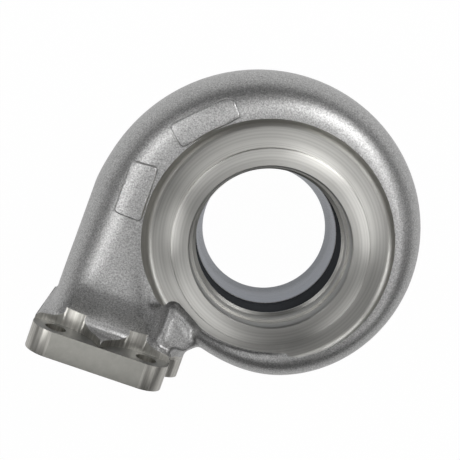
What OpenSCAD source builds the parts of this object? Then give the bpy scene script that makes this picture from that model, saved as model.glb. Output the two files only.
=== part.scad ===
// Turbocharger turbine housing: one casting, finish-machined on the bearing side, the
// outlet side and the inlet flange. Millimetres. The bore axis is Z, the outlet face is
// Z = 0 and the bearing side looks up. The inlet flange looks along -Y.

/* [Housing] */
// Height of the bearing-side ring face above the outlet face
total_h = 106; // [102:0.5:116]
// Wall of the cast scroll
wall_t = 5.5; // [4.5:0.1:7]

/* [Bearing side] */
// Diameter of the clamp ring
ring_d = 101.6; // [98:0.1:106]
// Thickness of the clamp ring at its rim
ring_rim_t = 4; // [3:0.1:5]
// Diameter of the pilot bore that the bearing housing enters
pilot_d = 82.6; // [80:0.1:85]
// Depth of the pilot bore
pilot_depth = 12; // [9:0.5:15]
// Diameter of the heat-shield bore below the pilot bore
shield_d = 80; // [78.4:0.1:81]
// Depth of the machined clamp groove floor below the ring face
floor_drop = 11; // [9.5:0.5:13]
// Radius where the groove floor starts to turn up into its wall
floor_r = 60.3; // [58:0.1:61]
// Radius of the turned corner of the groove
groove_corner_r = 4; // [3:0.1:5]
// Radius of the neck under the clamp ring
ring_neck_r = 46.5; // [45:0.1:48]

/* [Gas path] */
// Diameter of the thin lip over the nozzle slot
lip_d = 76.9; // [75:0.1:78]
// Depth of the lip below the ring face
lip_drop = 22; // [20:0.5:23]
// Thickness of the lip at its edge
lip_t = 1.5; // [1.2:0.1:2]
// Height of the nozzle slot between lip and shroud
slot_h = 20; // [16:0.5:22]
// Diameter of the shroud at its inlet
shroud_d = 76.7; // [75:0.1:78]
// Diameter of the shroud throat where the gas leaves the wheel
throat_d = 70.2; // [68:0.1:72]
// Depth of the shroud throat below the ring face
throat_drop = 73; // [68:0.5:76]
// Outer radius of the scroll on the inlet side
scroll_r_inlet = 95.2; // [93:0.1:98]
// Outer radius of the scroll a quarter turn on
scroll_r_top = 87.8; // [86:0.1:90]
// Outer radius of the scroll half a turn on
scroll_r_side = 80.2; // [79:0.1:83]
// Outer radius of the scroll before its end
scroll_r_low = 75; // [74:0.1:77]
// Outer radius of the scroll at its end
scroll_r_end = 69.8; // [69:0.1:71.5]
// Wall between the gas passage and the clamp groove
groove_wall_t = 4.5; // [3.5:0.1:6]
// Diameter of the cast hub that closes the scroll on its inside
hub_d = 122; // [120:0.5:123]

/* [Outlet] */
// Diameter of the outlet bore at the outlet face
outlet_bore_d = 87; // [84:0.5:89]
// Diameter of the outlet clamp flange
outlet_flange_d = 103; // [101:0.5:106]
// Thickness of the outlet clamp flange at its rim
outlet_rim_t = 4.5; // [3.5:0.1:6]
// Length of the straight bore land at the outlet face
outlet_land = 5; // [3:0.5:8]
// Wall of the outlet neck
outlet_wall_t = 4.5; // [4:0.1:6]

/* [Inlet flange] */
// Distance of the inlet face from the bore axis
inlet_y = 90.9; // [89:0.1:93]
// Distance of the inlet centre from the bore axis, across
inlet_x = 65.3; // [64:0.1:67]
// Width of the inlet flange
flange_w = 74; // [72:0.5:77]
// Length of the inlet flange, along the bore axis
flange_l = 105; // [103:0.5:107]
// Depth of the inlet centre below the ring face
inlet_drop = 48.5; // [47:0.5:50]
// Thickness of the inlet flange
flange_t = 13.8; // [12:0.1:15]
// Width of the neck behind the inlet flange
neck_w = 64.5; // [62:0.5:67]
// Length of the neck behind the inlet flange, along the bore axis
neck_l = 86.5; // [84:0.5:89]
// Corner radius of the inlet flange
flange_corner_r = 12; // [9:0.5:12]
// Bolt hole spacing across the flange
bolt_dx = 49.3; // [48:0.1:50]
// Bolt hole spacing along the flange
bolt_dz = 85; // [84:0.1:86]
// Diameter of the four bolt holes
bolt_d = 11; // [9:0.1:11.5]
// Width of the inlet port
port_w = 46; // [43:0.5:48]
// Length of the inlet port
port_l = 62; // [58:0.5:64]
// Radius of the cutter that clears the bolt heads
scallop_r = 25.5; // [24:0.5:27]
// Height of the cutter path above the flange
scallop_h = 11; // [9:0.5:12.5]
// Distance of the cutter axis outward of the bolt holes
scallop_dz = 16.5; // [15.5:0.5:18]
// Corner radius of the inlet port
port_corner_r = 10; // [6:0.5:14]

/* [Cast marking pads] */
// Height of the two blank marking pads
pad_h = 1; // [0.6:0.1:1.6]
// Width of the marking pad beside the neck
side_pad_w = 14.8; // [12:0.1:16]
// Length of the marking pad beside the neck
side_pad_l = 29; // [24:0.5:32]
// Width of the marking pad on the scroll
top_pad_w = 13; // [11:0.1:15]
// Length of the marking pad on the scroll
top_pad_l = 35; // [30:0.5:38]

/* [Web pocket] */
// Depth of the pocket floor below the ring face
pocket_drop = 20; // [18:0.5:21]
// Distance of the web's outer face from the bore axis, at the flange
web_x = 20.8; // [20:0.1:22]

/* [Hidden] */
$fn = 96;
ring_z = total_h;
floor_z = ring_z - floor_drop;
mid_z = ring_z - lip_drop - lip_t - slot_h / 2;
neck_r = outlet_bore_d / 2 + outlet_wall_t;
lip_z = ring_z - lip_drop;
slot_z = lip_z - lip_t - slot_h;
flange_z = ring_z - inlet_drop;
hub_r = hub_d / 2;
pass_z = mid_z - 1;
roof = floor_z - groove_wall_t - pass_z;
flange_top_y = flange_t - inlet_y;
n_out = 26;
n_in = 20;
step_a = 8;
last_a = -86;
skin_end = -132;
pass_end = -144;

// Smooth curve through [x, y] points
function seg_of(t, x, i = 0) = (i >= len(t) - 2 || x < t[i + 1][0]) ? i : seg_of(t, x, i + 1);
function slope_at(t, i) = let (a = max(i - 1, 0), b = min(i + 1, len(t) - 1))
    (t[b][1] - t[a][1]) / (t[b][0] - t[a][0]);
function hermite(p, q, mp, mq, h, u) = p * (2 * u * u * u - 3 * u * u + 1)
    + mp * h * (u * u * u - 2 * u * u + u)
    + q * (3 * u * u - 2 * u * u * u)
    + mq * h * (u * u * u - u * u);
function curve(t, x) = let (i = seg_of(t, x), h = t[i + 1][0] - t[i][0])
    hermite(t[i][1], t[i + 1][1], slope_at(t, i), slope_at(t, i + 1), h, (x - t[i][0]) / h);

// Scroll skin: outer radius, mid radius, crown and sole heights by angle
scroll_r = [[-140, scroll_r_end - 1], [-100, scroll_r_end], [-65, scroll_r_low],
    [0, scroll_r_side], [90, scroll_r_top], [170, scroll_r_inlet], [180, scroll_r_inlet + 1.6]];
scroll_c = [[-140, 57], [-100, 58], [-65, 60], [0, 63], [90, 65], [180, 69]];
crown_d = [[-140, 17], [-100, 15.5], [-65, 11.3], [-10, 8.2], [60, 6.4], [120, 5.6], [180, 3.2]];
sole_d = [[-140, 56], [-100, 57], [0, 62], [90, 67], [180, 72]];
mid_d = [[-140, 35], [0, 37], [180, 39]];

// One closed section: mid point, left and right reach, crown, sole, squareness
function lobe(c, m, lo, hi, up, dn, n, k) = [for (i = [0:k - 1])
    let (a = 360 * i / k, ca = cos(a), sa = sin(a),
        q = pow(pow(abs(ca), n) + pow(abs(sa), n), -1 / n))
    [c + (ca > 0 ? hi : lo) * ca * q, m + (sa > 0 ? up : dn) * sa * q]];

function scroll_sec(a, g, k) = let (
        c = curve(scroll_c, a),
        m = ring_z - curve(mid_d, a),
        r = curve(scroll_r, a))
    lobe(c, m, c - 44, r - c + g, ring_z - curve(crown_d, a) - m + g, m - ring_z + curve(sole_d, a) + g, 2.3, k);
function on_angle(a, s) = [for (p = s) [p[0] * cos(a), p[0] * sin(a), p[1]]];
function on_row(y, s) = [for (p = s) [-p[0], y, p[1]]];

// Neck skin between the flange and the start of the scroll, blended by height
neck_f = [[0, 0], [0.25, 0.06], [0.6, 0.55], [1, 1]];
function mix(a, b, f) = a + (b - a) * f;
function neck_foot(y) = 3.5 * pow(max(0, 1 - (y - flange_top_y) / 6), 2);
function neck_sec(y, k, pad = 0) = let (
        f = curve(neck_f, (y - flange_top_y) / -flange_top_y),
        g = pad + neck_foot(max(y, flange_top_y)),
        c = mix(inlet_x + 0.5, 69, f),
        m = mix(flange_z + 4.5, ring_z - 39, f),
        lo = mix(neck_w / 2, 69 - 44, f),
        hi = mix(neck_w / 2, scroll_r_inlet + 1.6 - 69, f),
        up = mix(neck_l / 2, 39 - 3.2, f),
        dn = mix(neck_l / 2, 33, f))
    lobe(c, m, lo + g, hi + g, up + g, dn + g, mix(3.4, 2.3, f), k);

// Gas passage sections follow the skin, one wall inside it
pass_r = [[-145, 50.5], [-130, 56], [-100, scroll_r_end - wall_t], [-65, scroll_r_low - wall_t],
    [0, scroll_r_side - wall_t], [90, scroll_r_top - wall_t], [170, scroll_r_inlet - wall_t],
    [180, scroll_r_inlet + 1.6 - wall_t]];
pass_up = [[-145, 4.5], [-130, 8], [-100, 11], [-65, 14], [0, roof - 1], [90, roof], [180, roof]];
pass_dn = [[-145, 4.5], [-130, 8], [-100, 11], [-65, 15], [0, 20.5], [90, 26], [180, 31]];
function pass_sec(a, k) = let (
        r = curve(pass_r, a),
        c = 47 + (r - 47) * 0.5)
    lobe(c, pass_z, c - 47, r - c, curve(pass_up, a), curve(pass_dn, a), 2.2, k);
function neck_pass(y, k) = let (
        f = curve(neck_f, (y - flange_top_y + 4) / (4 - flange_top_y)),
        r = scroll_r_inlet + 1.6 - wall_t,
        c = mix(inlet_x, 47 + (r - 47) * 0.5, f),
        w = port_w / 2 - 0.5,
        l = port_l / 2 - 0.5)
    lobe(c, mix(flange_z, pass_z, f), mix(w, c - 47, f), mix(w, r - c, f),
        mix(l, roof, f), mix(l, curve(pass_dn, 180), f), mix(5, 2.2, f), k);

module loft(rows) {
    n = len(rows);
    k = len(rows[0]);
    pts = [for (r = rows) each r];
    cap_a = [for (i = [0:k - 1]) i];
    cap_b = [for (i = [0:k - 1]) (n - 1) * k + k - 1 - i];
    side = [for (j = [0:n - 2], i = [0:k - 1]) each [
        [j * k + i, (j + 1) * k + i, j * k + (i + 1) % k],
        [(j + 1) * k + i, (j + 1) * k + (i + 1) % k, j * k + (i + 1) % k]]];
    polyhedron(points = pts, faces = concat([cap_a, cap_b], side), convexity = 6);
}

module skin() {
    loft(concat(
        [for (y = [flange_top_y - 3, flange_top_y, flange_top_y + 1.5, flange_top_y + 3,
            flange_top_y + 6, -62, -54, -46, -38, -30, -22, -14, -7]) on_row(y, neck_sec(y, n_out))],
        [for (a = [180:-step_a:last_a]) on_angle(a, scroll_sec(a, 0, n_out))],
        [on_angle(last_a, scroll_sec(last_a, 0, n_out))]));
    loft([for (t = [0:6]) let (a = mix(last_a, skin_end, t / 6)) on_angle(a, scroll_sec(a, 0, n_out))]);
}

module passage() {
    loft(concat(
        [for (y = [flange_top_y - 4, -78, -68, -58, -48, -38, -28, -19, -10])
            on_row(y, neck_pass(y, n_in))],
        [for (a = [180:-step_a:last_a]) on_angle(a, pass_sec(a, n_in))],
        [on_angle(last_a, pass_sec(last_a, n_in))]));
    loft([for (t = [0:7]) let (a = mix(last_a, pass_end, t / 7)) on_angle(a, pass_sec(a, n_in))]);
}

// Two blank marking pads, raised over the skin on the bearing side
module pads() {
    intersection() {
        loft(concat(
            [for (y = [-22, -15, -8]) on_row(y, neck_sec(y, n_out, pad_h))],
            [for (a = [180:-8:108]) on_angle(a, scroll_sec(a, pad_h, n_out))]));
        translate([0, 0, mid_z]) linear_extrude(height = 60) offset(r = 2) offset(delta = -2) {
            side_pad(side_pad_w / 2, side_pad_l / 2);
            top_pad(top_pad_w / 2, top_pad_l / 2);
        }
    }
}

module side_pad(w, l) {
    translate([21.1 - scroll_r_inlet, 4.7])
        polygon([[-w, l - 0.9], [w - 0.2, l + 0.4], [w + 0.3, -l], [-w, 0.3 - l]]);
}

module top_pad(w, l) {
    rotate(137.6) translate([scroll_r_top - 15.7, 0]) rotate(-91)
        polygon([[0.9 - l, w], [l - 2.8, w - 0.5], [l + 1.2, w - 3], [l + 0.6, -w], [1.7 - l, -w - 0.3]]);
}

// Cast hub and outlet neck before machining
module hub_cast() {
    rotate_extrude($fn = 64) polygon([
        [0, outlet_rim_t / 2], [neck_r, outlet_rim_t / 2],
        [neck_r, ring_z - 82], [hub_r - 10, ring_z - 68], [hub_r - 1, ring_z - 52],
        [hub_r, ring_z - 30], [hub_r, floor_z - 7], [hub_r - 2.5, floor_z - 5],
        [hub_r - 4, floor_z - 2], [hub_r - 4.5, floor_z + 1], [0, floor_z + 1]]);
}

// Web from the flange to the hub, under the scroll end: [y, right edge, top below the ring]
web_rows = [[flange_top_y - 2, web_x, 31], [flange_top_y + 1.6, web_x - 0.2, 27.5],
    [flange_top_y + 4.1, web_x - 0.6, 23], [flange_top_y + 5.8, web_x - 1.2, 20.7],
    [flange_top_y + 7.5, web_x - 2.8, pocket_drop - 0.4],
    [flange_top_y + 11.1, web_x - 6.8, pocket_drop - 0.7], [-50, web_x - 14.8, pocket_drop - 0.7]];
module web() {
    loft([for (w = web_rows) let (c = (46 + w[1]) / 2, h = c - w[1], v = (58 - w[2]) / 2)
        on_row(w[0], lobe(c, ring_z - w[2] - v, h, h, v, v, 4, n_in))]);
    translate([0, 0, ring_z - 40]) linear_extrude(height = 29.5)
        polygon([[-46, flange_top_y - 2.6], [-29.2, flange_top_y - 2.6],
            [-29.2, flange_top_y + 7.1], [-25, -50], [-30, -34], [-50, -33]]);
}

// Cast pocket over the web, between neck, hub and scroll end: [depth, corner radius]
pocket_rows = [[pocket_drop, 1.2], [pocket_drop - 0.4, 2.1], [pocket_drop - 1.6, 3.1],
    [pocket_drop - 4.5, 4], [floor_drop, 4.7], [4, 6.2], [-6, 8.5]];
pocket_corners = [[-35.9, -49.1, 60, 192], [-31.5, flange_top_y + 8.1, 192, 270],
    [-23.2, flange_top_y + 8.1, 270, 360], [-23.2, -56.4, 0, 60]];
module pocket() {
    loft([for (w = pocket_rows) [for (c = pocket_corners, t = [0:4])
        let (a = c[2] + (c[3] - c[2]) * t / 4)
        [c[0] + w[1] * cos(a), c[1] + w[1] * sin(a), ring_z - w[0]]]]);
}

// Rough casting: skin, hub and web, hollow along the gas passage
module casting() {
    resize([0, 0, 0])
    difference() {
        union() {
            skin();
            pads();
            hub_cast();
            web();
        }
        pocket();
        passage();
        nozzle();
    }
}

// Clamp ring of the bearing side and clamp flange of the outlet
module clamp_rings() {
    rotate_extrude() polygon([
        [36, floor_z - 2], [ring_neck_r, floor_z - 2], [ring_neck_r, ring_z - ring_rim_t - 1.5],
        [ring_d / 2, ring_z - ring_rim_t], [ring_d / 2, ring_z - 0.5],
        [ring_d / 2 - 0.5, ring_z], [36, ring_z]]);
    rotate_extrude() polygon([
        [36, 0], [outlet_flange_d / 2 - 0.6, 0], [outlet_flange_d / 2, 0.6],
        [outlet_flange_d / 2, outlet_rim_t], [neck_r, outlet_rim_t + 1.5], [36, outlet_rim_t + 1.5]]);
}

// Everything the lathe removes on the bearing side and through the bore
module turned() {
    cr = groove_corner_r;
    rotate_extrude() polygon(concat(
        [[ring_d / 2 + 3, ring_z + 14], [ring_d / 2 + 3, ring_z], [ring_d / 2, ring_z],
        [ring_d / 2, ring_z - ring_rim_t],
        [ring_neck_r, ring_z - ring_rim_t - 1.5], [ring_neck_r, floor_z + 1], [ring_neck_r + 1, floor_z]],
        [for (a = [0:9:63]) [floor_r + cr * sin(a), floor_z + cr - cr * cos(a)]],
        [[floor_r + cr * sin(67) + 4.4, floor_z + cr - cr * cos(67) + 10.4],
        [floor_r + cr * sin(67) + 4.4, ring_z + 14]]));
}

// Bore from the bearing side: pilot, heat-shield seat and lip
module upper_bore() {
    rotate_extrude() polygon([
        [0, ring_z + 1], [pilot_d / 2 + 1.8, ring_z + 1], [pilot_d / 2, ring_z - 0.8],
        [pilot_d / 2, ring_z - pilot_depth], [shield_d / 2, ring_z - pilot_depth],
        [shield_d / 2, lip_z + 1.4], [lip_d / 2, lip_z], [lip_d / 2, lip_z - 1.2],
        [0, lip_z - 1.2]]);
}

// Bore from the outlet side: shroud, throat and outlet cone
module lower_bore() {
    rotate_extrude() polygon([
        [0, slot_z - 3], [shroud_d / 2, slot_z - 3],
        [throat_d / 2, ring_z - throat_drop], [outlet_bore_d / 2, outlet_land],
        [outlet_bore_d / 2, -1], [0, -1]]);
}

// Nozzle slot between the lip and the rounded nose of the shroud
module nozzle() {
    rotate_extrude($fn = 96) polygon([
        [0, lip_z - 0.8], [lip_d / 2 + 0.3, lip_z - 0.8], [lip_d / 2 + 0.8, lip_z - 1.6],
        [52, lip_z - 3], [52, slot_z + 1], [45, slot_z + 1.4], [41.5, slot_z + 0.8],
        [39.4, slot_z - 0.6], [shroud_d / 2 + 0.3, slot_z - 3.4], [0, slot_z - 3.4]]);
}

// Rectangle with rounded corners, centred
module plate(w, l, r) {
    square([w - 2 * r, l], center = true);
    square([w, l - 2 * r], center = true);
    for (sx = [-1, 1], sy = [-1, 1])
        translate([sx * (w / 2 - r), sy * (l / 2 - r)]) circle(r = r);
}

// Flange outline with the cast lobe on the tongue side
module flange_outline() {
    plate(flange_w, flange_l, flange_corner_r);
    translate([flange_w / 2 - 4, 4.5]) circle(r = 12);
}

module flange() {
    translate([-inlet_x, flange_top_y, flange_z]) rotate([90, 0, 0])
        linear_extrude(height = flange_t) flange_outline();
}

module port() {
    translate([-inlet_x, flange_top_y + 0.6, flange_z]) rotate([90, 0, 0])
        linear_extrude(height = flange_t + 2) plate(port_w, port_l, port_corner_r);
}

module flange_cuts() {
    for (sx = [-1, 1], sz = [-1, 1]) {
        translate([-inlet_x + sx * bolt_dx / 2, flange_top_y + 1, flange_z + sz * bolt_dz / 2])
            rotate([90, 0, 0]) cylinder(d = bolt_d, h = flange_t + 2);
        translate([-inlet_x + sx * bolt_dx / 2, flange_top_y + scallop_h,
            flange_z + sz * (bolt_dz / 2 + scallop_dz)])
            rotate([90, 0, 0]) cylinder(r = scallop_r, h = scallop_h);
    }
}

module turbine_housing() {
    color("#A9A7A1")
    difference() {
        union() {
            casting();
            clamp_rings();
            flange();
        }
        turned();
        upper_bore();
        lower_bore();
        port();
        flange_cuts();
    }
}

turbine_housing();
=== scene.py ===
# %% [markdown]
# # A turbine housing, cast in sand and then machined
# A turbine housing starts as one rough casting and is then turned and milled where other
# parts meet it. This lesson works in the same order: soft cast shapes are joined and blended
# first, and hard cutters with clean faces are taken out of them afterwards. Every cut face
# keeps the finish of the cutter that made it, as it does in the workshop.

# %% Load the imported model
import bpy
import bmesh
import math
from mathutils import Matrix, Vector


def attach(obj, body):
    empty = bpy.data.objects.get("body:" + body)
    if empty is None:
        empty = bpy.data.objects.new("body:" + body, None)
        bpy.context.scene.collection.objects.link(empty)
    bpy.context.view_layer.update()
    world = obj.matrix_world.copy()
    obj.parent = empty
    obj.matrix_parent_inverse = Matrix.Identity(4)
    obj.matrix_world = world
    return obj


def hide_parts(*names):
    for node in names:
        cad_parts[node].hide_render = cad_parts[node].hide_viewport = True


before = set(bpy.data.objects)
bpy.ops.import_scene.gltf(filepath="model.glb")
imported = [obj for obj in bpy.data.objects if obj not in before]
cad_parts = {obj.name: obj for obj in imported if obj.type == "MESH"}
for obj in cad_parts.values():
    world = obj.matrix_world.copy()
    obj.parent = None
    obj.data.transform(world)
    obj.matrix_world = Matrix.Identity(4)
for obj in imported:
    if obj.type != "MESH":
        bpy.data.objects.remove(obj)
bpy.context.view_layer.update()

# %% [markdown]
# ## Sizes
# All sizes are in millimetres, as on the workshop drawing, and one helper turns them into
# metres. The bore is the Z axis, the outlet face is Z = 0 and the ring on the bearing side
# looks up. The inlet flange looks along -Y and lies on the -X side. A size that only one step
# needs stands with that step.

# %% Drawing sizes
RING_Z = 106.0
FLOOR_Z = RING_Z - 11.0             # floor of the clamp groove
LIP_Z = RING_Z - 22.0               # top of the lip over the nozzle slot
LIP_T, SLOT_H = 1.5, 20.0
SLOT_Z = LIP_Z - LIP_T - SLOT_H
MID_Z = SLOT_Z + SLOT_H / 2
INLET_X, INLET_Y = 65.3, 90.9       # the flange's middle and its end face
FLANGE_W, FLANGE_L, FLANGE_CORNER = 74.0, 105.0, 12.0
FLANGE_Z = RING_Z - 48.5
FLANGE_T = 13.8
SEAT_Y = FLANGE_T - INLET_Y         # plane of the seats under the bolt heads
PLATE_BACK = -73.6                  # back of the plate, as cast


def m(point):
    """A point in millimetres as one in metres."""
    return Vector(point) / 1000.0


print("middle of the flange, metres:", m((-INLET_X, -INLET_Y, FLANGE_Z)))


# %% [markdown]
# ## Smooth curves from a few control values
# The scroll shrinks steadily round the bore. Its outer radius, crown and sole are each given
# at a few angles, and a smooth curve runs through them, so that no kink shows where two
# stretches meet. A curve object could do the same, but a table of drawing sizes is easier to
# read and to change.

# %% Curves and sections
def curve(table, x):
    """The height at x of a smooth curve through a table of (x, height) pairs."""
    i = 0
    while i < len(table) - 2 and x >= table[i + 1][0]:
        i += 1

    def slope(j):
        a, b = max(j - 1, 0), min(j + 1, len(table) - 1)
        return (table[b][1] - table[a][1]) / (table[b][0] - table[a][0])
    h = table[i + 1][0] - table[i][0]
    u = (x - table[i][0]) / h
    p, q = table[i][1], table[i + 1][1]
    return (p * (2 * u ** 3 - 3 * u ** 2 + 1) + slope(i) * h * (u ** 3 - 2 * u ** 2 + u)
            + q * (3 * u ** 2 - 2 * u ** 3) + slope(i + 1) * h * (u ** 3 - u ** 2))


def mix(a, b, f):
    """The value a share f of the way from a to b."""
    return a + (b - a) * f


def lobe(c, mid, lo, hi, up, dn, n, k):
    """One rounded section: a circle pushed out towards its corners by the power n."""
    points = []
    for i in range(k):
        a = 2 * math.pi * i / k
        ca, sa = math.cos(a), math.sin(a)
        q = (abs(ca) ** n + abs(sa) ** n) ** (-1 / n)
        points.append((c + (hi if ca > 0 else lo) * ca * q, mid + (up if sa > 0 else dn) * sa * q))
    return points


def at_angle(a, section):
    """Stand a section of (radius, height) points up at an angle round the bore."""
    ca, sa = math.cos(math.radians(a)), math.sin(math.radians(a))
    return [(r * ca, r * sa, z) for r, z in section]


def at_row(y, section):
    """Stand the same kind of section up across the neck at a row y."""
    return [(-r, y, z) for r, z in section]


def scroll_rows(section, start, end):
    """Sections every four degrees from one angle round the bore down to another."""
    return [at_angle(a, section(a)) for a in range(start, end - 1, -4)]


print("half way from 0 to 8:", mix(0, 8, 0.5), "and by curve:", curve([(0, 0), (1, 8)], 0.5))

# %% [markdown]
# ## The skin's sections
# The skin is what the sand mould shapes: a scroll round the bore that runs out into a straight
# neck. At 180 degrees both meet, so the neck's last section is read from the scroll's tables.
# Towards the flange the neck turns square, its crown falls and a fillet flares it into the
# plate. Tables hold (degrees, millimetres); crown, sole and middle are drops below the ring.

# %% Sections of the skin
OUTER_R = [(-140, 68.8), (-100, 69.8), (-65, 75), (0, 80.2), (90, 87.8), (170, 95.2), (180, 96.8)]
SECTION_C = [(-140, 57), (-100, 58), (-65, 60), (0, 63), (90, 65), (180, 69)]
CROWN = [(-140, 17), (-100, 15.5), (-65, 11.3), (-10, 8.2), (60, 6.4), (120, 5.6), (180, 3.2)]
SOLE = [(-140, 56), (-100, 57), (0, 62), (90, 67), (180, 72)]
MIDDLE = [(-140, 35), (0, 37), (180, 39)]
START_R, START_C, START_SOLE, START_MIDDLE = (
    table[-1][1] for table in (OUTER_R, SECTION_C, SOLE, MIDDLE))
SKIN_INNER_R, SKIN_POWER, SKIN_POINTS = 44, 2.3, 64
NECK_W, NECK_DOWN, NECK_POWER = 64.5, 37, 3.4
NECK_SHIFT = 0.5                    # the neck lies a little off the flange's middle
NECK_BLEND = [(0, 0), (0.25, 0.06), (0.6, 0.55), (1, 1)]
NECK_TOP = [(-77.1, 94), (-68.5, 94.5), (-58, 98.3), (-48, 101.2), (-30, 102.4), (0, 102.8)]
FOOT_R = 5.0
OUTER_FLARE = 4.1                   # the fillet stays inside the plate's outer side


def scroll_section(a, g=0.0):
    """The skin at an angle round the bore, grown by g."""
    c, mid, r = curve(SECTION_C, a), RING_Z - curve(MIDDLE, a), curve(OUTER_R, a)
    return lobe(c, mid, c - SKIN_INNER_R, r - c + g, RING_Z - curve(CROWN, a) - mid + g,
                mid - RING_Z + curve(SOLE, a) + g, SKIN_POWER, SKIN_POINTS)


def neck_section(y, g=0.0):
    """The skin at a row of the neck, grown by g and by the fillet in front of the plate."""
    y = max(y, SEAT_Y)
    f = curve(NECK_BLEND, (y - SEAT_Y) / -SEAT_Y)
    foot = min(max(PLATE_BACK + FOOT_R - y, 0.0), FOOT_R)
    g += FOOT_R - math.sqrt(FOOT_R ** 2 - foot ** 2)
    mid = mix(FLANGE_Z, RING_Z - START_MIDDLE, f)
    return lobe(mix(INLET_X + NECK_SHIFT, START_C, f), mid,
                mix(NECK_W / 2, START_C - SKIN_INNER_R, f) + g,
                mix(NECK_W / 2, START_R - START_C, f) + min(g, OUTER_FLARE),
                curve(NECK_TOP, y) - mid + g, mix(NECK_DOWN, START_SOLE - START_MIDDLE, f) + g,
                mix(NECK_POWER, SKIN_POWER, f), SKIN_POINTS)


print("scroll radius at the top, mm:", round(curve(OUTER_R, 90), 1))

# %% [markdown]
# ## The gas passage's sections
# On the real casting a sand core shapes the passage. It starts as the rectangular port, turns
# round inside the neck and shrinks round the bore with a section and a rate of its own. This
# scene leaves the casting solid there: only the mouths of the port and of the nozzle slot are
# cut further down. The sections serve to tell which faces of those mouths are the core's.

# %% Sections of the passage
PORT_W, PORT_L, PORT_CORNER = 46.0, 62.0, 10.0
PORT_STEP = 0.5                     # the core starts this far inside the port's sides
GAS_R = [(-145, 50.5), (-130, 56), (-100, 64.3), (-65, 69.5), (0, 74.7), (90, 82.3),
         (170, 89.7), (180, 91.3)]
GAS_UP = [(-145, 4.5), (-130, 8), (-100, 11), (-65, 14), (0, 18), (90, 19), (180, 19)]
GAS_DOWN = [(-145, 4.5), (-130, 8), (-100, 11), (-65, 15), (0, 20.5), (90, 26), (180, 31)]
GAS_INNER_R = 47
GAS_START_Y = SEAT_Y - 4


def gas_form(a):
    """Middle radius and height, and reach sideways, up and down, at an angle."""
    side = (curve(GAS_R, a) - GAS_INNER_R) / 2
    return GAS_INNER_R + side, MID_Z - 1, side, curve(GAS_UP, a), curve(GAS_DOWN, a)


def gas_neck_form(y):
    """The same at a row of the neck, between the port's values and the scroll's first ones."""
    f = curve(NECK_BLEND, (y - GAS_START_Y) / -GAS_START_Y)
    tall = PORT_L / 2 - PORT_STEP
    port = (INLET_X, FLANGE_Z, PORT_W / 2 - PORT_STEP, tall, tall)
    return [mix(p, q, f) for p, q in zip(port, gas_form(180))]


print("passage from mm:", gas_neck_form(GAS_START_Y), "to", gas_form(180))


# %% [markdown]
# ## Extruding a section along its way
# A scroll is modelled by hand as a ring of points that is extruded again and again, and each
# new ring is moved on to the next section. The end face travels with it, so the shape stays
# closed from the first step to the last.

# %% Loft helper
def rest_all():
    """Leave edit mode and select nothing."""
    if bpy.context.object and bpy.context.object.mode != "OBJECT":
        bpy.ops.object.mode_set(mode="OBJECT")
    bpy.ops.object.select_all(action="DESELECT")


def pick(piece):
    """Select one piece alone and make it the active one."""
    rest_all()
    bpy.context.view_layer.objects.active = piece
    piece.select_set(True)


def loft(name, rows):
    """Extrude the first row's ring through all the other rows (millimetres)."""
    rest_all()
    bpy.ops.mesh.primitive_circle_add(vertices=len(rows[0]), radius=0.01, fill_type="NGON")
    piece = bpy.context.object
    piece.name = name
    bpy.ops.object.mode_set(mode="EDIT")
    mesh = bmesh.from_edit_mesh(piece.data)
    mesh.verts.ensure_lookup_table()
    ring = {v: i for i, v in enumerate(mesh.verts)}
    for v, i in ring.items():
        v.co = m(rows[0][i])
    for row in rows[1:]:
        bpy.ops.mesh.extrude_region_move()
        mesh = bmesh.from_edit_mesh(piece.data)
        old = ring
        ring = {}
        for v in mesh.verts:
            if v.select:
                below = [e.other_vert(v) for e in v.link_edges if e.other_vert(v) in old]
                ring[v] = old[below[0]]
        for v, i in ring.items():
            v.co = m(row[i])
    bmesh.update_edit_mesh(piece.data)
    bpy.ops.mesh.select_all(action="SELECT")
    bpy.ops.mesh.normals_make_consistent(inside=False)
    rest_all()
    return piece


# %% [markdown]
# ## Skin of the scroll and the neck
# One loft runs from the flange through the neck and round the bore. A second one carries on
# under it as the tail, up to the tongue. Both are left as they are where they cross, because
# the join below melts them into one.

# %% Skin
JOIN_A, TAIL_A = -84, -132
neck_rows = [SEAT_Y - 3] + [PLATE_BACK + s for s in (0, 0.1, 0.4, 1, 2, 3, 5, 8, 11)]
neck_rows += [-59 + 4 * i for i in range(15)]
skin = loft("scroll_skin", [at_row(y, neck_section(y)) for y in neck_rows]
            + scroll_rows(scroll_section, 180, JOIN_A))
tail = loft("scroll_tail", scroll_rows(scroll_section, JOIN_A, TAIL_A))
print("skin and tail:", len(skin.data.polygons), len(tail.data.polygons), "faces")


# %% [markdown]
# ## Turning a profile round the bore axis
# A lathe part is one half-section spun round the axis. The profile starts as a single point
# that is extruded from corner to corner, then the spin tool carries it round. The first
# profile is the hub, from the outlet's neck up to the floor of the clamp groove.

# %% Lathe helper and hub
OUTLET_RIM_T, OUTLET_NECK_R = 4.5, 48.0


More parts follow.
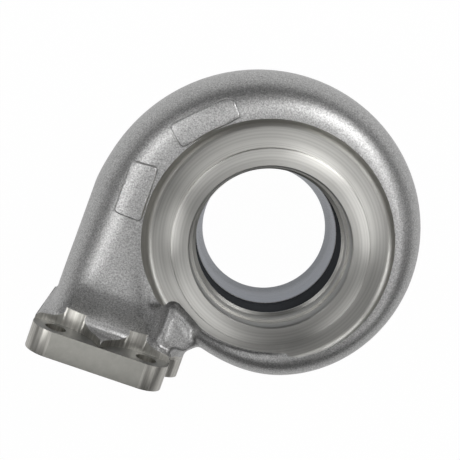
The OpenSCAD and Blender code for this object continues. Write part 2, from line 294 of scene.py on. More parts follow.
def turn(name, profile, steps=192):
    """Spin a closed half-section, given as (radius, height) in millimetres."""
    rest_all()
    bpy.ops.mesh.primitive_plane_add(size=0.001)
    piece = bpy.context.object
    piece.name = name
    bpy.ops.object.mode_set(mode="EDIT")
    bpy.ops.mesh.merge(type="CENTER")
    here = Vector((0, 0, 0))
    path = list(profile)
    if path[0][0] > 0:
        path.append(path[0])
    for i, (r, z) in enumerate(path):
        step = m((r, 0, z)) - here
        if i == 0:
            bpy.ops.transform.translate(value=step)
        else:
            bpy.ops.mesh.extrude_vertices_move(TRANSFORM_OT_translate={"value": step})
        here = m((r, 0, z))
    bpy.ops.mesh.select_all(action="SELECT")
    bpy.ops.mesh.spin(steps=steps, angle=2 * math.pi, center=(0, 0, 0), axis=(0, 0, 1))
    bpy.ops.mesh.select_all(action="SELECT")
    bpy.ops.mesh.remove_doubles(threshold=1e-6)
    bpy.ops.mesh.normals_make_consistent(inside=False)
    rest_all()
    return piece


hub = turn("hub_blank", [
    (0, OUTLET_RIM_T / 2), (OUTLET_NECK_R, OUTLET_RIM_T / 2), (OUTLET_NECK_R, RING_Z - 82),
    (51, RING_Z - 68), (60, RING_Z - 52), (61, RING_Z - 30), (61, FLOOR_Z - 7),
    (58.5, FLOOR_Z - 5), (57, FLOOR_Z - 2), (56.5, FLOOR_Z + 2), (0, FLOOR_Z + 2)], 96)
print("hub:", len(hub.data.polygons), "faces")

# %% [markdown]
# ## Web between neck and hub
# A web closes the corner between the straight neck and the round hub. Its top stays low, as
# the floor of a pocket, and a second loft lifts the corner beside the clamp groove, from where
# the casting falls steeply towards the flange.

# %% Web and its corner
WEB_LEFT, WEB_BOTTOM = 46, 58
web_rows = []
for y, right, top in [(SEAT_Y - 2, 20.8, 31), (-75.5, 20.6, 27.5), (-73, 20.2, 23),
                      (-71.3, 19.6, 20.7), (-69.6, 18, 19.6), (-66, 14, 19.3), (-50, 6, 19.3)]:
    half, tall = (WEB_LEFT - right) / 2, (WEB_BOTTOM - top) / 2
    web_rows.append(at_row(y, lobe(right + half, RING_Z - top - tall, half, half,
                                   tall, tall, 4, 48)))
web = loft("web", web_rows)
corner = loft("web_corner", [
    [(x, y, z) for x, z in ((-48, 66), (right, 66), (right, low), (-42, low + 0.4), (-48, high))]
    for y, right, high, low in (
        (-79.7, -29.2, 79, 78), (-64, -28, 82, 79), (-58, -26, 89, 83), (-53, -25.5, 95.5, 91),
        (-49, -26, 99, 97.5), (-42, -29, 100.2, 98.5), (-34, -30, 100.6, 99.5))])
print("web and corner:", len(web.data.polygons), len(corner.data.polygons), "faces")

# %% [markdown]
# ## Cast blank of the flange
# The flange's cast blank is a little smaller than the milled plate, whose solid is added
# later, and reaches further back, so only its back keeps the sand's skin. On the bore side a
# small round ear stands out of the plate. Both are outlines lofted along Y.

# %% Flange blank
CAST_INSET = 0.4
EAR_DX, EAR_DZ, EAR_R = 33, 4.5, 12


def arc(x, y, r, start, end, steps):
    """Points on a circle from one angle to another, in degrees."""
    angles = [math.radians(start + (end - start) * t / steps) for t in range(steps + 1)]
    return [(x + r * math.cos(a), y + r * math.sin(a)) for a in angles]


side_x = FLANGE_W / 2 - FLANGE_CORNER - CAST_INSET
side_z = FLANGE_L / 2 - FLANGE_CORNER - CAST_INSET
plate_outline = []
for sx, sz, start in ((1, 1, 0), (-1, 1, 90), (-1, -1, 180), (1, -1, 270)):
    plate_outline += arc(-INLET_X + sx * side_x, FLANGE_Z + sz * side_z, FLANGE_CORNER,
                         start, start + 90, 15)
cast_plate = loft("cast_plate", [[(x, y, z) for x, z in plate_outline] for y in (-84, PLATE_BACK)])
ear_outline = arc(-INLET_X + EAR_DX, FLANGE_Z + EAR_DZ, EAR_R, 0, 352.5, 47)
ear = loft("flange_lobe", [[(x, y, z) for x, z in ear_outline] for y in (SEAT_Y, -INLET_Y - 2)])
print("plate outline:", len(plate_outline), "points, ear:", len(ear_outline), "points")

# %% [markdown]
# ## Pocket over the web
# The mould leaves a pocket over the web. Its floor is not flat: wide fillets run up to the
# walls, and a low crest stands in the middle. Every row of the pocket is the same outline,
# drawn in towards a middle point, so the walls turn into the floor without an edge.

# %% Pocket and crest
POCKET_X, POCKET_Y = -29, -64
CREST_X, CREST_Y = -28, -63.5
POCKET_CORNERS = [(-35.9, -49.1, 60, 181), (-35.2, -69, 181, 270), (-23.2, -69, 270, 360),
                  (-23.2, -56.4, 0, 60)]
CREST = [(-34.6, -57.5), (-32.8, -55), (-30.5, -55.6), (-27.5, -58), (-24, -61.5),
         (-21.5, -65.3), (-20.6, -69), (-22, -71.2), (-33, -71.2), (-34, -65)]
pocket_rows = []
for drop, r, k in [(21, 1.2, 0.62), (20.8, 2, 0.72), (19.8, 3, 0.84), (17.6, 4, 0.93),
                   (14.5, 4.4, 0.98), (11, 4.7, 1), (4, 6.2, 1), (-6, 8.5, 1)]:
    row = []
    for x, y, start, end in POCKET_CORNERS:
        row += arc(mix(POCKET_X, x, k), mix(POCKET_Y, y, k), r, start, end, 8)
    pocket_rows.append([(x, y, RING_Z - drop) for x, y in row])
pocket = loft("web_pocket", pocket_rows)
crest = loft("web_crest", [[(mix(CREST_X, x, k), mix(CREST_Y, y, k), z) for x, y in CREST]
                           for z, k in ((70, 1.02), (85, 1.02), (85.8, 0.97), (86.3, 0.86))])
print("pocket rows:", len(pocket_rows), "crest points:", len(CREST))


# %% [markdown]
# ## Joining the casting
# The lofts overlap each other, so the boolean modifier can join them to one closed solid, and
# the pocket is then taken out of it. Applying one modifier after the other keeps each step
# small enough to see which one fails.

# %% Join
def combine(base, tools, how):
    """Join or cut solids with the boolean modifier, applied one after the other."""
    for tool in tools:
        pick(base)
        cut = base.modifiers.new("cut", "BOOLEAN")
        cut.operation = how
        cut.object = tool
        cut.solver = "MANIFOLD"
        bpy.ops.object.modifier_apply(modifier=cut.name)
        if base.modifiers:
            print("could not join or cut with", tool.name)
            base.modifiers.clear()
        bpy.data.objects.remove(tool)
    return base


rough = combine(skin, [tail, hub, web, corner, ear, cast_plate], "UNION")
combine(rough, [pocket], "DIFFERENCE")
combine(rough, [crest], "UNION")
rough.name = "turbine_housing_visual"
print("rough casting:", len(rough.data.polygons), "faces")


# %% [markdown]
# ## Blending the casting
# Sand can't hold a sharp corner, so every edge of a casting is rounded and every inner corner
# has a fillet. Remeshing the whole body in small voxels and smoothing it a little does that
# everywhere at once, which edge bevels could not do where lofts cross at odd angles. A voxel
# remesh also fills any hollow that is sealed on all sides, so a core has to be cut after it.

# %% Voxel remesh and smoothing
def soften(piece, voxel, passes):
    """Remesh in voxels of a size in millimetres, then smooth, which rounds every edge."""
    pick(piece)
    remesh = piece.modifiers.new("cast", "REMESH")
    remesh.mode = "VOXEL"
    remesh.voxel_size = voxel / 1000
    bpy.ops.object.modifier_apply(modifier=remesh.name)
    soft = piece.modifiers.new("soft", "SMOOTH")
    soft.factor = 0.5
    soft.iterations = passes
    bpy.ops.object.modifier_apply(modifier=soft.name)


soften(rough, 1.16, 8)
print("blended casting:", len(rough.data.polygons), "faces")


# %% [markdown]
# ## Two raised pads
# Two low pads stand on the skin, one beside the neck and one on the crown, and are left bare.
# Each one is the same scroll surface grown by the pad's height and trimmed to a rounded
# outline, so its top follows the skin. It is softened in finer voxels than the casting, as its
# edge is small, and then thinned out.

# %% Pads
PAD_H = 2.8
SIDE_PAD = [(-7.4, 13.6), (-7.4, -14.2), (7.7, -14.5), (7.2, 14.9)]
CROWN_PAD = [(-16.6, 6.5), (-15.8, -6.8), (18.1, -6.5), (18.7, 3.5), (14.7, 6.0)]
SIDE_PAD_AT, CROWN_PAD_A, CROWN_PAD_R = (-74.1, 4.7), math.radians(137.6), 72.1
CROWN_PAD_AT = (CROWN_PAD_R * math.cos(CROWN_PAD_A), CROWN_PAD_R * math.sin(CROWN_PAD_A))
CROWN_PAD_SLANT = CROWN_PAD_A - math.radians(91)
LONG_EDGE = 10.0


def round_edges(piece, wanted, radius, segments):
    """Bevel the edges that the test wants; it sees both ends in millimetres."""
    pick(piece)
    bpy.ops.object.mode_set(mode="EDIT")
    mesh = bmesh.from_edit_mesh(piece.data)
    for edge in mesh.edges:
        p, q = (v.co * 1000 for v in edge.verts)
        edge.select_set(bool(wanted(p, q)))
    bmesh.update_edit_mesh(piece.data)
    bpy.ops.mesh.bevel(offset=radius / 1000, segments=segments, affect="EDGES")
    rest_all()


def moved(outline, x, y, slant):
    """Turn a flat outline by an angle and move it to a place."""
    c, s = math.cos(slant), math.sin(slant)
    return [(x + px * c - py * s, y + px * s + py * c) for px, py in outline]


pad_skin = [at_row(y, neck_section(y, PAD_H)) for y in (-22, -18, -14, -10, -6)]
pad_skin += scroll_rows(lambda a: scroll_section(a, PAD_H), 180, 108)
for outline in (moved(SIDE_PAD, *SIDE_PAD_AT, 0),
                moved(CROWN_PAD, *CROWN_PAD_AT, CROWN_PAD_SLANT)):
    pad = loft("pad", pad_skin)
    prism = loft("pad_outline", [[(x, y, z) for x, y in outline]
                                 for z in (RING_Z - 25, RING_Z + 20)])
    round_edges(prism, lambda p, q: abs(p.z - q.z) > LONG_EDGE, 2.0, 5)
    combine(pad, [prism], "INTERSECT")
    soften(pad, 0.5, 14)
    thin = pad.modifiers.new("thin", "DECIMATE")
    thin.ratio = 0.25
    bpy.ops.object.modifier_apply(modifier=thin.name)
    print("pad:", len(pad.data.polygons), "faces")
    combine(rough, [pad], "UNION")


# %% [markdown]
# ## Finishes
# Colours are written as sRGB hex values, as a paint chart gives them, and one function turns
# them into the linear numbers that the shader works with. Small helpers add the nodes, so
# that every finish reads as a short list of what makes it.

# %% Colour and node helpers
def colour(code):
    """A hex colour as linear red, green, blue and a full alpha."""
    channels = [int(code[i:i + 2], 16) / 255 for i in (1, 3, 5)]
    linear = [c / 12.92 if c <= 0.04045 else ((c + 0.055) / 1.055) ** 2.4 for c in channels]
    return (*linear, 1.0)


def feed(tree, target, inputs):
    """Set a node's inputs, which may be values or other nodes' outputs."""
    for key, value in inputs.items():
        if isinstance(value, bpy.types.NodeSocket):
            tree.links.new(value, target.inputs[key])
        else:
            target.inputs[key].default_value = value


def node(tree, kind, inputs=None, **settings):
    """Add one node, set its properties and feed its inputs."""
    new = tree.nodes.new(kind)
    for key, value in settings.items():
        setattr(new, key, value)
    feed(tree, new, inputs or {})
    return new


def maths(tree, operation, *values):
    """The result of one maths node."""
    return node(tree, "ShaderNodeMath", dict(enumerate(values)), operation=operation).outputs[0]


def noise(tree, place, scale, detail, roughness):
    """The result of a noise texture over a place."""
    return node(tree, "ShaderNodeTexNoise", {"Vector": place, "Scale": scale, "Detail": detail,
                                             "Roughness": roughness}).outputs["Fac"]


def ramp(tree, factor, dark, light):
    """A colour between two (position, hex colour) stops."""
    new = node(tree, "ShaderNodeValToRGB", {"Fac": factor})
    for stop, (position, code) in zip(new.color_ramp.elements, (dark, light)):
        stop.position = position
        stop.color = colour(code)
    return new.outputs["Color"]


def relief(tree, height, strength, depth):
    """The normal of a surface with a relief of a depth in metres."""
    return node(tree, "ShaderNodeBump", {"Height": height, "Strength": strength,
                                         "Distance": depth}).outputs["Normal"]


def metal(name, base):
    """A metal with a principled shader; returns it, its tree, its shader and the place."""
    material = bpy.data.materials.new(name)
    material.use_nodes = True
    material.diffuse_color = colour(base)
    tree = material.node_tree
    shader = tree.nodes["Principled BSDF"]
    feed(tree, shader, {"Base Color": colour(base), "Metallic": 1.0})
    return material, tree, shader, node(tree, "ShaderNodeTexCoord").outputs["Object"]


print("a middle grey, linear:", round(colour("#808080")[0], 3))

# %% [markdown]
# ### Sand-cast skin
# Heat-resistant cast iron, shot-blasted after casting. The mould's sand leaves grains of about
# half a millimetre to one millimetre, and blasting leaves bright tops and dark hollows, so the
# grain is drawn both as bump and as colour. It has no direction.

# %% Cast finish
cast, tree, shader, place = metal("sand_cast_iron", "#B4B1AB")
grain = noise(tree, place, 1300.0, 2.0, 0.6)
clump = noise(tree, place, 420.0, 2.0, 0.6)
height = maths(tree, "MULTIPLY_ADD", clump, 0.6, grain)
feed(tree, shader, {"Base Color": ramp(tree, grain, (0.3, "#908F8F"), (0.7, "#D2D2D1")),
                    "Normal": relief(tree, height, 0.16, 0.0005), "Roughness": 0.42})
print("finish:", cast.name)


# %% [markdown]
# ### Turned faces
# A lathe tool leaves a fine groove that runs round and round, so the metal scatters light
# across the groove and bright fans stand on the face. The anisotropic shader does that with a
# tangent that runs round the bore. The real pitch, about 0.2 mm, is too fine to show, so the
# rings are drawn about 0.8 mm wide. The pilot and the bores below the wheel are the same
# metal, but the bores are turned finer and look smoother; their darker, bluer grey is painted
# shade and a painted cool reflection.

# %% Turned finish
def turned_metal(name, base, dark, light, rough):
    """Rings round the bore, by the way along the profile: radius plus height."""
    material, tree, shader, place = metal(name, base)
    x, y, z = node(tree, "ShaderNodeSeparateXYZ", {"Vector": place}).outputs
    squares = maths(tree, "MULTIPLY_ADD", y, y, maths(tree, "MULTIPLY", x, x))
    along = maths(tree, "ADD", maths(tree, "SQRT", squares), z)
    rings, broad = (
        node(tree, "ShaderNodeTexNoise", {"W": along, "Scale": scale, "Detail": 2.0},
             noise_dimensions="1D").outputs["Fac"] for scale in (1100.0, 260.0))
    tint = maths(tree, "MULTIPLY_ADD", broad, 0.7, rings)
    round_bore = node(tree, "ShaderNodeTangent", direction_type="RADIAL", axis="Z")
    feed(tree, shader, {"Base Color": ramp(tree, tint, (0.55, dark), (1.15, light)),
                        "Normal": relief(tree, rings, 0.03, 0.0002),
                        "Tangent": round_bore.outputs["Tangent"], "Roughness": rough,
                        "Anisotropic": 0.75, "Anisotropic Rotation": 0.25})
    return material


turned = turned_metal("turned_iron", "#C2C1BD", "#B8B7B3", "#CBCAC6", 0.34)
# darker, bluer grey of the bores: painted shade and a painted cool reflection
bored_painted_shade = turned_metal("bored_iron_painted_shade", "#B2B6BE", "#AAAEB6", "#BABEC6", 0.2)
print("finishes:", turned.name, bored_painted_shade.name)

# %% [markdown]
# ### Milled faces
# The flange's edges and the cuts behind it were milled with the side of the cutter, which
# leaves straight marks along the cutter's axis, here along Y. Noise that is stretched along Y
# draws them, about a millimetre wide.

# %% Milled finish
milled, tree, shader, place = metal("milled_iron", "#BDBBB5")
stretch = node(tree, "ShaderNodeMapping", {"Vector": place, "Scale": (1.0, 0.02, 1.0)})
marks = noise(tree, stretch.outputs["Vector"], 700.0, 2.0, 0.6)
feed(tree, shader, {"Base Color": ramp(tree, marks, (0.3, "#A5A39D"), (0.68, "#D0CEC8")),
                    "Normal": relief(tree, marks, 0.25, 0.0004), "Roughness": 0.36})
print("finish:", milled.name)


# %% [markdown]
# ### Faced flats
# The flat ends of the flange were faced with a sharp cutter at a fine feed, which leaves an
# even grey with only a faint cloudiness. The seats under the bolt heads were cut with the end
# of a mill; their darker grey is painted shade.

# %% Faced finish
def faced_metal(name, base, dark, light):
    """An even grey with a faint cloudiness."""
    material, tree, shader, place = metal(name, base)
    cloud = noise(tree, place, 220.0, 5.0, 0.7)
    feed(tree, shader, {"Base Color": ramp(tree, cloud, (0.3, dark), (0.7, light)),
                        "Roughness": 0.46})
    return material


faced = faced_metal("faced_iron", "#AEADA7", "#A9A8A2", "#B5B4AE")
# darker grey for the seats: painted shade
seat_painted_shade = faced_metal("spot_faced_iron_painted_shade", "#8E8E8C", "#898987", "#949492")
print("finishes:", faced.name, seat_painted_shade.name)

# %% [markdown]
# ### Mouths of the gas passage
# The core that shapes the passage leaves a dull scale, which no blasting or tool reaches. Its
# colour here is almost black, partly the scale's own and partly painted shade, so the nozzle slot
# and the port read as deep shadows.

# %% Core scale with painted shade
# almost black: the core's scale darkened with painted shade of a deep passage
scale, tree, shader, place = metal("core_scale_and_painted_shade", "#34373B")
grain = noise(tree, place, 700.0, 3.0, 0.6)
feed(tree, shader, {"Metallic": 0.3, "Roughness": 0.75,
                    "Normal": relief(tree, grain, 0.4, 0.0006)})
FINISHES = [cast, turned, milled, bored_painted_shade, scale, faced, seat_painted_shade]
CAST, TURNED, MILLED, BORED_PAINTED_SHADE, SCALE_AND_SHADE, FACED, SEAT_PAINTED_SHADE = range(len(FINISHES))


def use_finish(piece, index):
    """Give the piece all the finishes as slots and set its faces to one of them."""
    piece.data.materials.clear()
    for finish in FINISHES:
        piece.data.materials.append(finish)
    for polygon in piece.data.polygons:
        polygon.material_index = index


use_finish(rough, CAST)
print("finishes:", [f.name for f in FINISHES])

# %% [markdown]
# ## Clamp rings
# From here on every face is flat or round and has a clean edge. Both ends of the housing carry
# a ring that a V-band clamp or a bolted clamp holds. They are turned solids joined to the
# blank, with small chamfers, because a voxel remesh would blur their edges.

# %% Clamp rings
RING_R, RIM_T, NECK_UNDER_RING, RING_INSIDE = 50.8, 4.0, 46.5, 36
OUTLET_FLANGE_R = 51.5
ring = turn("bearing_ring", [
    (RING_INSIDE, FLOOR_Z - 2), (NECK_UNDER_RING, FLOOR_Z - 2),
    (NECK_UNDER_RING, RING_Z - RIM_T - 1.5), (RING_R - 0.15, RING_Z - RIM_T - 0.05),
    (RING_R, RING_Z - RIM_T + 0.1), (RING_R, RING_Z - 0.5), (RING_R - 0.15, RING_Z - 0.15),
    (RING_R - 0.5, RING_Z), (RING_INSIDE, RING_Z)])
outlet_ring = turn("outlet_ring", [
    (RING_INSIDE, 0), (OUTLET_FLANGE_R - 0.6, 0), (OUTLET_FLANGE_R, 0.6),
    (OUTLET_FLANGE_R, OUTLET_RIM_T), (OUTLET_NECK_R - 0.5, OUTLET_RIM_T + 1.6),
    (RING_INSIDE, OUTLET_RIM_T + 1.6)])
use_finish(ring, TURNED)
use_finish(outlet_ring, TURNED)
print("rings:", len(ring.data.polygons), len(outlet_ring.data.polygons), "faces")

# %% [markdown]
# ## Milled flange plate
# The outline of the flange is milled all round. A box with four rounded corners stands for it,
# and the edges of its end face are broken by half a millimetre. It ends a little inside the
# cast blank, whose back stays as cast.

# %% Flange plate
PLATE_LAP = 1.6


def box(name, size, place):
    """A box of a size in the middle of a place, both in millimetres."""
    rest_all()
    bpy.ops.mesh.primitive_cube_add(size=1, location=(0, 0, 0))
    piece = bpy.context.object
    piece.name = name
    bpy.ops.object.mode_set(mode="EDIT")
    bpy.ops.transform.resize(value=m(size))
    bpy.ops.transform.translate(value=m(place))
    rest_all()
    return piece


def runs_along_y(p, q):
    """Whether an edge is one of the box's four that run along Y."""
    return abs(p.y - q.y) > LONG_EDGE


def on_end_face(p, q):
    """Whether an edge lies in the flange's end face."""
    return max(abs(p.y + INLET_Y), abs(q.y + INLET_Y)) < 0.01


plate_t = PLATE_BACK - PLATE_LAP + INLET_Y
plate = box("flange_plate", (FLANGE_W, plate_t, FLANGE_L),
            (-INLET_X, -INLET_Y + plate_t / 2, FLANGE_Z))
round_edges(plate, runs_along_y, FLANGE_CORNER, 14)
round_edges(plate, on_end_face, 0.5, 2)
use_finish(plate, MILLED)
combine(rough, [ring, outlet_ring, plate], "UNION")
print("with rings and flange:", len(rough.data.polygons), "faces")

# %% [markdown]
# ## Turning
# The groove under the ring, the stepped bore above the wheel, the nozzle slot and the bore
# below the wheel are turned in one clamping. Each cut is a turned solid whose finish stays on
# the faces it leaves. The slot is the mouth of the passage. It is cut to 52 mm from the axis
# and keeps the cast look until the core's scale, darkened with painted shade, is laid on it.

# %% Cutters for the lathe
PILOT_R, PILOT_DEPTH, SHIELD_R, LIP_R = 41.3, 12.0, 40.0, 38.45
SHROUD_R, THROAT_R, THROAT_Z, OUTLET_R, OUTLET_LAND = 38.35, 35.1, RING_Z - 73.0, 43.5, 5.0
FLOOR_R, GROOVE_CORNER, GROOVE_WALL_A = 60.3, 4.0, 67
ABOVE = RING_Z + 14


def groove_corner(a):
    """The point at some degrees up the fillet between the groove's floor and outer wall."""
    return (FLOOR_R + GROOVE_CORNER * math.sin(math.radians(a)),
            FLOOR_Z + GROOVE_CORNER - GROOVE_CORNER * math.cos(math.radians(a)))


wall_r, wall_z = groove_corner(GROOVE_WALL_A)
groove = turn("groove_cut", [
    (RING_R + 3, ABOVE), (RING_R + 3, RING_Z + 0.2), (RING_R + 0.005, RING_Z),
    (RING_R + 0.005, RING_Z - RIM_T), (NECK_UNDER_RING, RING_Z - RIM_T - 1.5),
    (NECK_UNDER_RING, FLOOR_Z + 1), (NECK_UNDER_RING + 0.3, FLOOR_Z + 0.3),
    (NECK_UNDER_RING + 1, FLOOR_Z)] + [groove_corner(a) for a in range(0, GROOVE_WALL_A, 6)] + [
    (wall_r + 4.4, wall_z + 10.4), (wall_r + 4.4, ABOVE)])
upper = turn("upper_bore_cut", [
    (0, RING_Z + 1), (PILOT_R + 1.8, RING_Z + 1), (PILOT_R + 0.25, RING_Z - 0.45),
    (PILOT_R, RING_Z - 0.9), (PILOT_R, RING_Z - PILOT_DEPTH), (SHIELD_R, RING_Z - PILOT_DEPTH),
    (SHIELD_R, LIP_Z + 1.4), (LIP_R, LIP_Z), (LIP_R, LIP_Z - 1.2), (0, LIP_Z - 1.2)])
slot = turn("nozzle_cut", [
    (0, LIP_Z - 0.8), (LIP_R + 0.3, LIP_Z - 0.8), (LIP_R + 0.8, LIP_Z - 1.6), (52, LIP_Z - 3),
    (52, SLOT_Z + 1), (45, SLOT_Z + 1.4), (41.5, SLOT_Z + 0.8), (39.4, SLOT_Z - 0.6),
    (SHROUD_R + 0.3, SLOT_Z - 3.4), (0, SLOT_Z - 3.4)])
lower = turn("lower_bore_cut", [
    (0, SLOT_Z - 3), (SHROUD_R, SLOT_Z - 3), (THROAT_R, THROAT_Z), (OUTLET_R, OUTLET_LAND),
    (OUTLET_R, 0.6), (OUTLET_R + 0.8, -0.2), (OUTLET_R + 0.8, -1), (0, -1)])
for cutter, finish in ((groove, TURNED), (upper, TURNED), (slot, CAST), (lower, BORED_PAINTED_SHADE)):
    use_finish(cutter, finish)
combine(rough, [groove, upper, slot, lower], "DIFFERENCE")
print("turned:", len(rough.data.polygons), "faces")

# %% [markdown]
# ## Milling and drilling
# The port's mouth is a rounded box with a flat bottom, the four bolt holes are plain
# cylinders, and over each hole a wide round cutter mills a seat for the bolt head into the
# plate's back. The last cut faces the flange's end and takes off what stands past it.

# %% Cutters for the mill and the drill
BOLT_DX, BOLT_DZ, BOLT_R = 49.3, 85.0, 5.5
SCALLOP_R, SCALLOP_H, SCALLOP_DZ = 25.5, 10.0, 16.5
PORT_DEEP, PORT_LAP = 16.4, 0.6
FACING = (160, 10, 150)


def drill(name, x, y0, y1, z, r, sides):
    """A cylinder along Y from one row to another."""
    rest_all()
    bpy.ops.mesh.primitive_cylinder_add(vertices=sides, radius=r / 1000, depth=abs(y1 - y0) / 1000,
                                        location=m((x, (y0 + y1) / 2, z)),
                                        rotation=(math.pi / 2, 0, 0))
    tool = bpy.context.object
    tool.name = name
    bpy.ops.object.transform_apply(location=True, rotation=True, scale=True)
    use_finish(tool, MILLED)
    return tool


port = box("port_cut", (PORT_W, PORT_DEEP, PORT_L),
           (-INLET_X, SEAT_Y + PORT_LAP - PORT_DEEP / 2, FLANGE_Z))
round_edges(port, runs_along_y, PORT_CORNER, 10)
use_finish(port, CAST)
cutters = [port]
for sx in (-1, 1):
    for sz in (-1, 1):
        x = -INLET_X + sx * BOLT_DX / 2
        cutters.append(drill("bolt_hole_cut", x, -INLET_Y - 1, SEAT_Y + 1,
                             FLANGE_Z + sz * BOLT_DZ / 2, BOLT_R, 48))
        cutters.append(drill("scallop_cut", x, SEAT_Y, SEAT_Y + SCALLOP_H,
                             FLANGE_Z + sz * (BOLT_DZ / 2 + SCALLOP_DZ), SCALLOP_R, 128))
facing = box("facing_cut", FACING, (-INLET_X, -INLET_Y - FACING[1] / 2, FLANGE_Z))
use_finish(facing, MILLED)
cutters.append(facing)
combine(rough, cutters, "DIFFERENCE")
housing = rough
print("machined:", len(housing.data.polygons), "faces")


# %% [markdown]
# ## Faces that get another finish
# The mouths of the port and of the nozzle slot carry the core's scale, darkened with painted
# shade, so their faces are picked by place: a cast face is the core's when it lies within the
# passage's section, or just on its skin. Flat milled faces were faced, or spot-faced where they
# look back at the neck, and those seats get a darker grey as painted shade. The ear's cast rim
# was milled with the plate.

# %% Finish by place
SKIN_GAP, PICK_POWER = 1.5, 2.6
EAR_X, EAR_TOP = -28.3, 76


def in_passage(p):
    """Whether a point lies in the nozzle slot or where the gas passage runs."""
    x, y, z = p * 1000
    radius = math.hypot(x, y)
    if SLOT_Z - 3.3 < z < LIP_Z - 0.9 and 38.6 < radius < 53:
        return True
    if x < -25 and y < 0:
        radius, form = -x, gas_neck_form(max(y, GAS_START_Y))
    else:
        form = gas_form(max(GAS_R[0][0], math.degrees(math.atan2(y, x))))
    c, mid, side, up, down = form
    tall = up if z > mid else down
    return (abs(radius - c) / (side + SKIN_GAP)) ** PICK_POWER + (
        abs(z - mid) / (tall + SKIN_GAP)) ** PICK_POWER < 1


counts = [0] * len(FINISHES)
for polygon in housing.data.polygons:
    spot, flat = polygon.center * 1000, max(abs(c) for c in polygon.normal) > 0.9995
    if polygon.material_index == CAST and in_passage(polygon.center):
        # the core's scale, darkened with painted shade
        polygon.material_index = SCALE_AND_SHADE
    elif polygon.material_index == MILLED and flat:
        # seats that look back at the neck get the darker grey of painted shade
        polygon.material_index = SEAT_PAINTED_SHADE if polygon.normal.y > 0.9 else FACED
    elif polygon.material_index == CAST and (
            spot.y < SEAT_Y and spot.x > EAR_X and spot.z < EAR_TOP):
        polygon.material_index = MILLED
    counts[polygon.material_index] += 1
print("faces by finish:", dict(zip([f.name for f in FINISHES], counts)))

# %% [markdown]
# ## Clean mesh, smooth light
# The cuts leave many-sided faces, so they are split into triangles after stray doubles are
# merged. Shading by angle keeps machined edges crisp while cast skin and bores look round.

# %% Clean the mesh and shade it
pick(housing)
bpy.ops.object.mode_set(mode="EDIT")
bpy.ops.mesh.select_all(action="SELECT")
bpy.ops.mesh.remove_doubles(threshold=2e-6)
bpy.ops.mesh.quads_convert_to_tris()
pick(housing)
bpy.ops.object.shade_smooth_by_angle(angle=math.radians(32))
print("triangles:", len(housing.data.polygons))


# %% [markdown]
# ## Riding and replacing
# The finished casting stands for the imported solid. It rides on the same body, so the two stay
# together wherever the part is used.

# %% Hand over to the frame
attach(housing, "root")
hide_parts("turbine_housing")
print("handed over:", housing.name)

# %% [markdown]
# ## Table
# The housing lies on its outlet flange on a white table. The table shows plain white to the
# camera and to mirror-like metal, so the background stays even, and keeps a soft shadow.

# %% Table
CAMERA_SHARE, GLOSSY_SHARE = 0.985, 0.35
rest_all()
bpy.ops.mesh.primitive_plane_add(size=8, location=(0, 0, 0))
table = bpy.context.object
table.name = "table"
paper = bpy.data.materials.new("white_table")
paper.use_nodes = True
tree = paper.node_tree
diffuse = tree.nodes["Principled BSDF"]
feed(tree, diffuse, {"Base Color": colour("#F2F2F2"), "Roughness": 0.8})
rays = node(tree, "ShaderNodeLightPath").outputs
mirrored = maths(tree, "MULTIPLY", rays["Is Glossy Ray"], GLOSSY_SHARE)
share = maths(tree, "MULTIPLY_ADD", rays["Is Camera Ray"], CAMERA_SHARE, mirrored)
glow = node(tree, "ShaderNodeEmission", {"Color": (1, 1, 1, 1), "Strength": 1.0})
paper_mix = node(tree, "ShaderNodeMixShader", {0: share, 1: diffuse.outputs["BSDF"],
                                               2: glow.outputs["Emission"]})
feed(tree, tree.nodes["Material Output"], {"Surface": paper_mix.outputs["Shader"]})
table.data.materials.append(paper)
print("table:", table.name)

# %% [markdown]
# ## Camera
# The photo was taken from above, almost down the bore. The camera's place, its three axes and
# its focal length in pixels were worked out from the rings' edges and the bolt holes. The axes
# are the picture's right, its down and the way that the camera looks.

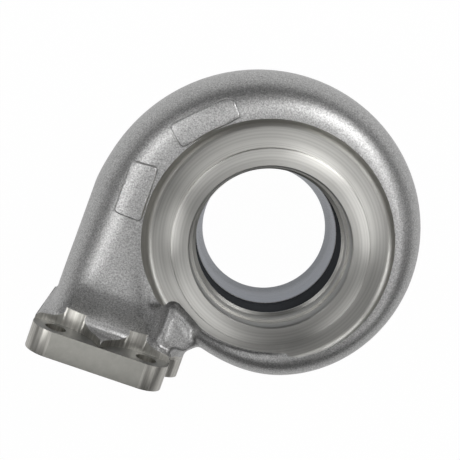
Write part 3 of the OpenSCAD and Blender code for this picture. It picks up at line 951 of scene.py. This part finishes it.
# %% Camera
EYE = (-59.41, 74.75, 656.2)
RIGHT = Vector((0.94147, 0.33659, 0.01832))
DOWN = Vector((0.33054, -0.93248, 0.1457))
FORWARD = Vector((0.06613, -0.13112, -0.98916))
FOCAL_PIXELS, PICTURE_PIXELS, SENSOR = 1100.0, 460.0, 36.0
camera_data = bpy.data.cameras.new("photo_camera")
camera_data.sensor_width = SENSOR
camera_data.lens = FOCAL_PIXELS / PICTURE_PIXELS * SENSOR
camera = bpy.data.objects.new("photo_camera", camera_data)
bpy.context.scene.collection.objects.link(camera)
turn_to = Matrix((RIGHT, -DOWN, -FORWARD)).transposed().to_4x4()
camera.matrix_world = Matrix.Translation(m(EYE)) @ turn_to
bpy.context.scene.camera = camera
print("lens, mm:", round(camera_data.lens, 2))


# %% [markdown]
# ## Lights
# Turned metal shows what stands round it, so the lamps decide where the bright fans fall. Nine
# square lamps stand round the housing: one strong key light at the picture's upper right, two
# on its left, and weak ones that fill the shadows. An almost dark, even world keeps the
# contrast.

# %% Lights
LAMP_AWAY, LAMP_SIZE = 1.2, 0.45
TARGET = Vector((0, 0, 0.06))


def softbox(name, azimuth, elevation, power):
    """A square lamp that looks at the housing from a direction in degrees."""
    lamp = bpy.data.lights.new(name, "AREA")
    lamp.shape = "RECTANGLE"
    lamp.size = LAMP_SIZE
    lamp.size_y = LAMP_SIZE
    lamp.energy = power
    holder = bpy.data.objects.new(name, lamp)
    a, e = math.radians(azimuth), math.radians(elevation)
    away = Vector((math.cos(e) * math.cos(a), math.cos(e) * math.sin(a), math.sin(e)))
    holder.location = TARGET + LAMP_AWAY * away
    holder.rotation_euler = (-away).to_track_quat("-Z", "Y").to_euler()
    bpy.context.scene.collection.objects.link(holder)


LAMPS = [("key_light", 64, 48, 4.7), ("left_light", 154, 46, 2.4), ("left_fill", 199, 50, 2.3),
         ("right_fill", 19, 60, 1.6), ("near_fill", 259, 62, 1.1), ("right_low", 19, 20, 0.3),
         ("left_low", 199, 20, 0.3), ("near_right", 334, 42, 1.0), ("top_light", 109, 76, 0.9)]
for lamp in LAMPS:
    softbox(*lamp)
world = bpy.data.worlds.new("studio")
bpy.context.scene.world = world
world.use_nodes = True
feed(world.node_tree, world.node_tree.nodes["Background"],
     {"Color": colour("#F4F5F7"), "Strength": 0.06})
bpy.context.scene.view_settings.view_transform = "Standard"
print("lamps:", len(LAMPS))
